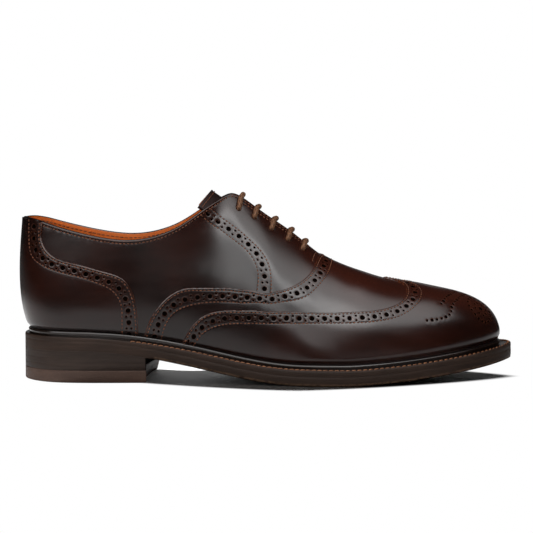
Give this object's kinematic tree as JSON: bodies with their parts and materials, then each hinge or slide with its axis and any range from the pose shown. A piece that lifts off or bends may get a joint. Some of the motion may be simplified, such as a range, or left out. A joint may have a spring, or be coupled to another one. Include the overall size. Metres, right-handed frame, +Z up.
{
  "type": "wingtip brogue oxford shoe",
  "caption": "Right-foot closed-lace wingtip oxford with a hollow leather upper, tongue, bar-laced facings, welt with a lip, outsole with toe spring and a stacked heel.",
  "frame": {"origin": "on the floor, under the middle of the shoe's bounding box", "axes": "+X from heel to toe, +Z up; the shoe's outer (lateral) side faces -Y"},
  "size_m": [0.3104, 0.105, 0.1188],
  "materials": {
    "upper_leather": "polished dark brown calf",
    "tongue_leather": "polished dark brown calf",
    "sock_leather": "matt tan lining leather",
    "welt_leather": "stained and waxed edge",
    "outsole_leather": "stained and waxed edge",
    "heel_leather": "stacked lifts, stained and waxed",
    "heel_rubber": "matt brown rubber",
    "lace_cord": "waxed braided cord"
  },
  "bodies": {
    "root": {"upper": "upper_leather", "tongue": "tongue_leather", "insole": "sock_leather", "welt": "welt_leather", "outsole": "outsole_leather", "heel_stack": "heel_leather", "heel_top_piece": "heel_rubber", "lace_bar_1": "lace_cord", "lace_bar_2": "lace_cord", "lace_bar_3": "lace_cord", "lace_bar_4": "lace_cord", "lace_bar_5": "lace_cord"}
  },
  "joints": []
}
